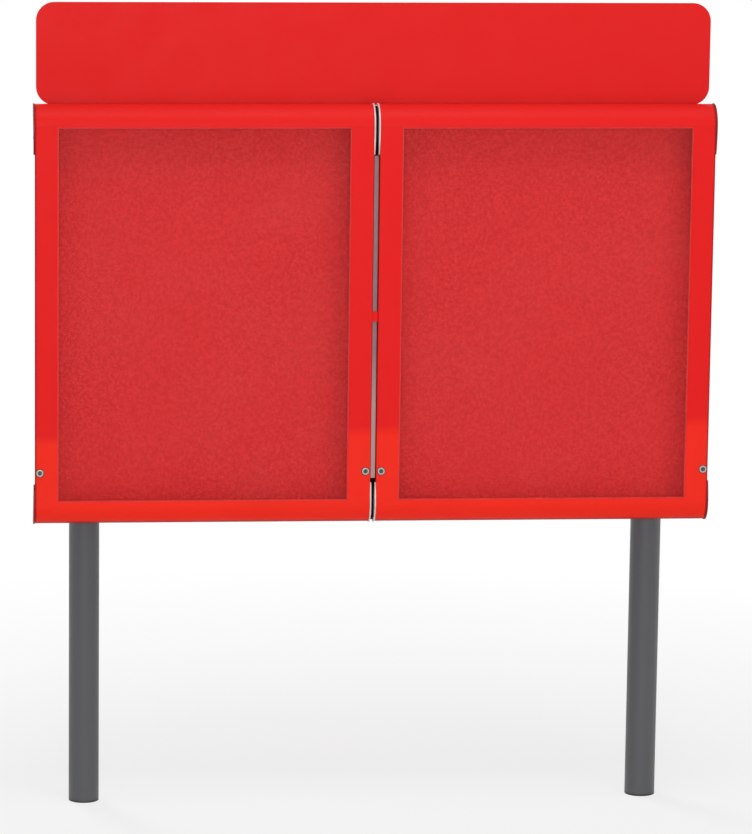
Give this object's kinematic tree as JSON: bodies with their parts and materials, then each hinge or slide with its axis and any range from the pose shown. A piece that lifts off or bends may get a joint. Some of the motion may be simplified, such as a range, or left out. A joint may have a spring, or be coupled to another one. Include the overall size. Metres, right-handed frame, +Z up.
{
  "type": "outdoor notice board sign",
  "caption": "Post-mounted outdoor sign: glazed showcases with lift-up doors side by side below a flat rounded header panel.",
  "frame": {"origin": "ground level, midway between the posts and in the middle of the sign's depth", "axes": "+X to the right along the sign, +Y from the doors to the posts, +Z up"},
  "size_m": [1.682, 0.1921, 2.019],
  "materials": {
    "red_paint": "satin powder coat",
    "red_panel": "satin flat panel",
    "post_paint": "fine textured dark grey powder coat",
    "aluminium": "satin anodised",
    "cap_silver": "satin anodised edge",
    "zinc_steel": "zinc plated",
    "lock_chrome": "polished nickel",
    "lock_core": "satin nickel",
    "rod_chrome": "hard chrome",
    "strut_black": "semi-gloss black",
    "black_plastic": "moulded",
    "grey_plastic": "moulded",
    "black_rubber": "matt",
    "red_gasket": "matt",
    "red_felt": "short pile felt on soft board",
    "clear_sheet": "clear polycarbonate"
  },
  "bodies": {
    "sign_structure": {"post_left": "post_paint", "post_right": "post_paint", "post_caps": "black_plastic", "header_panel": "red_panel", "header_rail": "aluminium", "upper_rail": "aluminium", "lower_rail": "aluminium", "rail_end_caps": "black_plastic", "post_clamps": "zinc_steel", "clamp_bolts": "zinc_steel", "case_bolts": "zinc_steel", "gap_cover_strip": "grey_plastic", "gap_spacers": "black_plastic", "gap_link": "red_paint", "left_case_tray": "red_paint", "left_case_side_walls": "aluminium", "left_pin_board": "red_felt", "left_door_seal": "black_rubber", "left_hinge_case_leaf": "aluminium", "left_hinge_pin": "zinc_steel", "left_lock_keepers": "zinc_steel", "left_strut_case_brackets": "zinc_steel", "right_case_tray": "red_paint", "right_case_side_walls": "aluminium", "right_pin_board": "red_felt", "right_door_seal": "black_rubber", "right_hinge_case_leaf": "aluminium", "right_hinge_pin": "zinc_steel", "right_lock_keepers": "zinc_steel", "right_strut_case_brackets": "zinc_steel"},
    "left_door": {"left_door_top_rail": "red_paint", "left_door_bottom_rail": "red_paint", "left_door_stiles": "red_paint", "left_door_end_caps": "cap_silver", "left_door_corner_cleats": "zinc_steel", "left_glazing": "clear_sheet", "left_glazing_gasket": "red_gasket", "left_hinge_door_leaf": "aluminium", "left_lock_housings": "lock_chrome", "left_strut_door_brackets": "zinc_steel"},
    "left_outer_lock": {"left_lock_outer": "lock_core"},
    "left_inner_lock": {"left_lock_inner": "lock_core"},
    "left_strut_cylinders": {"left_strut_tubes": "strut_black"},
    "left_strut_pistons": {"left_strut_rods": "rod_chrome"},
    "right_door": {"right_door_top_rail": "red_paint", "right_door_bottom_rail": "red_paint", "right_door_stiles": "red_paint", "right_door_end_caps": "cap_silver", "right_door_corner_cleats": "zinc_steel", "right_glazing": "clear_sheet", "right_glazing_gasket": "red_gasket", "right_hinge_door_leaf": "aluminium", "right_lock_housings": "lock_chrome", "right_strut_door_brackets": "zinc_steel"},
    "right_outer_lock": {"right_lock_outer": "lock_core"},
    "right_inner_lock": {"right_lock_inner": "lock_core"},
    "right_strut_cylinders": {"right_strut_tubes": "strut_black"},
    "right_strut_pistons": {"right_strut_rods": "rod_chrome"}
  },
  "joints": [
    {"name": "left_door_hinge", "type": "hinge", "parent": "sign_structure", "child": "left_door", "pos_m": [-0.4225, -0.0176, 1.7655], "axis": [-1, 0, 0], "range_deg": [0, 70]},
    {"name": "left_outer_lock_turn", "type": "hinge", "parent": "left_door", "child": "left_outer_lock", "pos_m": [-0.8255, -0.0626, 0.866], "axis": [0, 1, 0], "range_deg": [0, 90]},
    {"name": "left_inner_lock_turn", "type": "hinge", "parent": "left_door", "child": "left_inner_lock", "pos_m": [-0.0195, -0.0626, 0.866], "axis": [0, -1, 0], "range_deg": [0, 90]},
    {"name": "left_strut_pivot", "type": "hinge", "parent": "left_door", "child": "left_strut_cylinders", "pos_m": [-0.4225, -0.0476, 1.7055], "axis": [1, 0, 0], "range_deg": [0, 75.02]},
    {"name": "left_strut_slide", "type": "slide", "parent": "left_strut_cylinders", "child": "left_strut_pistons", "axis": [0, 0.0118, -0.9999], "range_m": [0, 0.06968]},
    {"name": "right_door_hinge", "type": "hinge", "parent": "sign_structure", "child": "right_door", "pos_m": [0.4225, -0.0176, 1.7655], "axis": [-1, 0, 0], "range_deg": [0, 70]},
    {"name": "right_outer_lock_turn", "type": "hinge", "parent": "right_door", "child": "right_outer_lock", "pos_m": [0.8255, -0.0626, 0.866], "axis": [0, -1, 0], "range_deg": [0, 90]},
    {"name": "right_inner_lock_turn", "type": "hinge", "parent": "right_door", "child": "right_inner_lock", "pos_m": [0.0195, -0.0626, 0.866], "axis": [0, 1, 0], "range_deg": [0, 90]},
    {"name": "right_strut_pivot", "type": "hinge", "parent": "right_door", "child": "right_strut_cylinders", "pos_m": [0.4225, -0.0476, 1.7055], "axis": [1, 0, 0], "range_deg": [0, 75.02]},
    {"name": "right_strut_slide", "type": "slide", "parent": "right_strut_cylinders", "child": "right_strut_pistons", "axis": [0, 0.0118, -0.9999], "range_m": [0, 0.06968]}
  ],
  "couplings": [
    {"joint": "left_strut_pivot", "follows": "left_door_hinge", "ratio": 1.0717},
    {"joint": "left_strut_slide", "follows": "left_door_hinge", "m_per_rad": 0.057023},
    {"joint": "right_strut_pivot", "follows": "right_door_hinge", "ratio": 1.0717},
    {"joint": "right_strut_slide", "follows": "right_door_hinge", "m_per_rad": 0.057023}
  ]
}
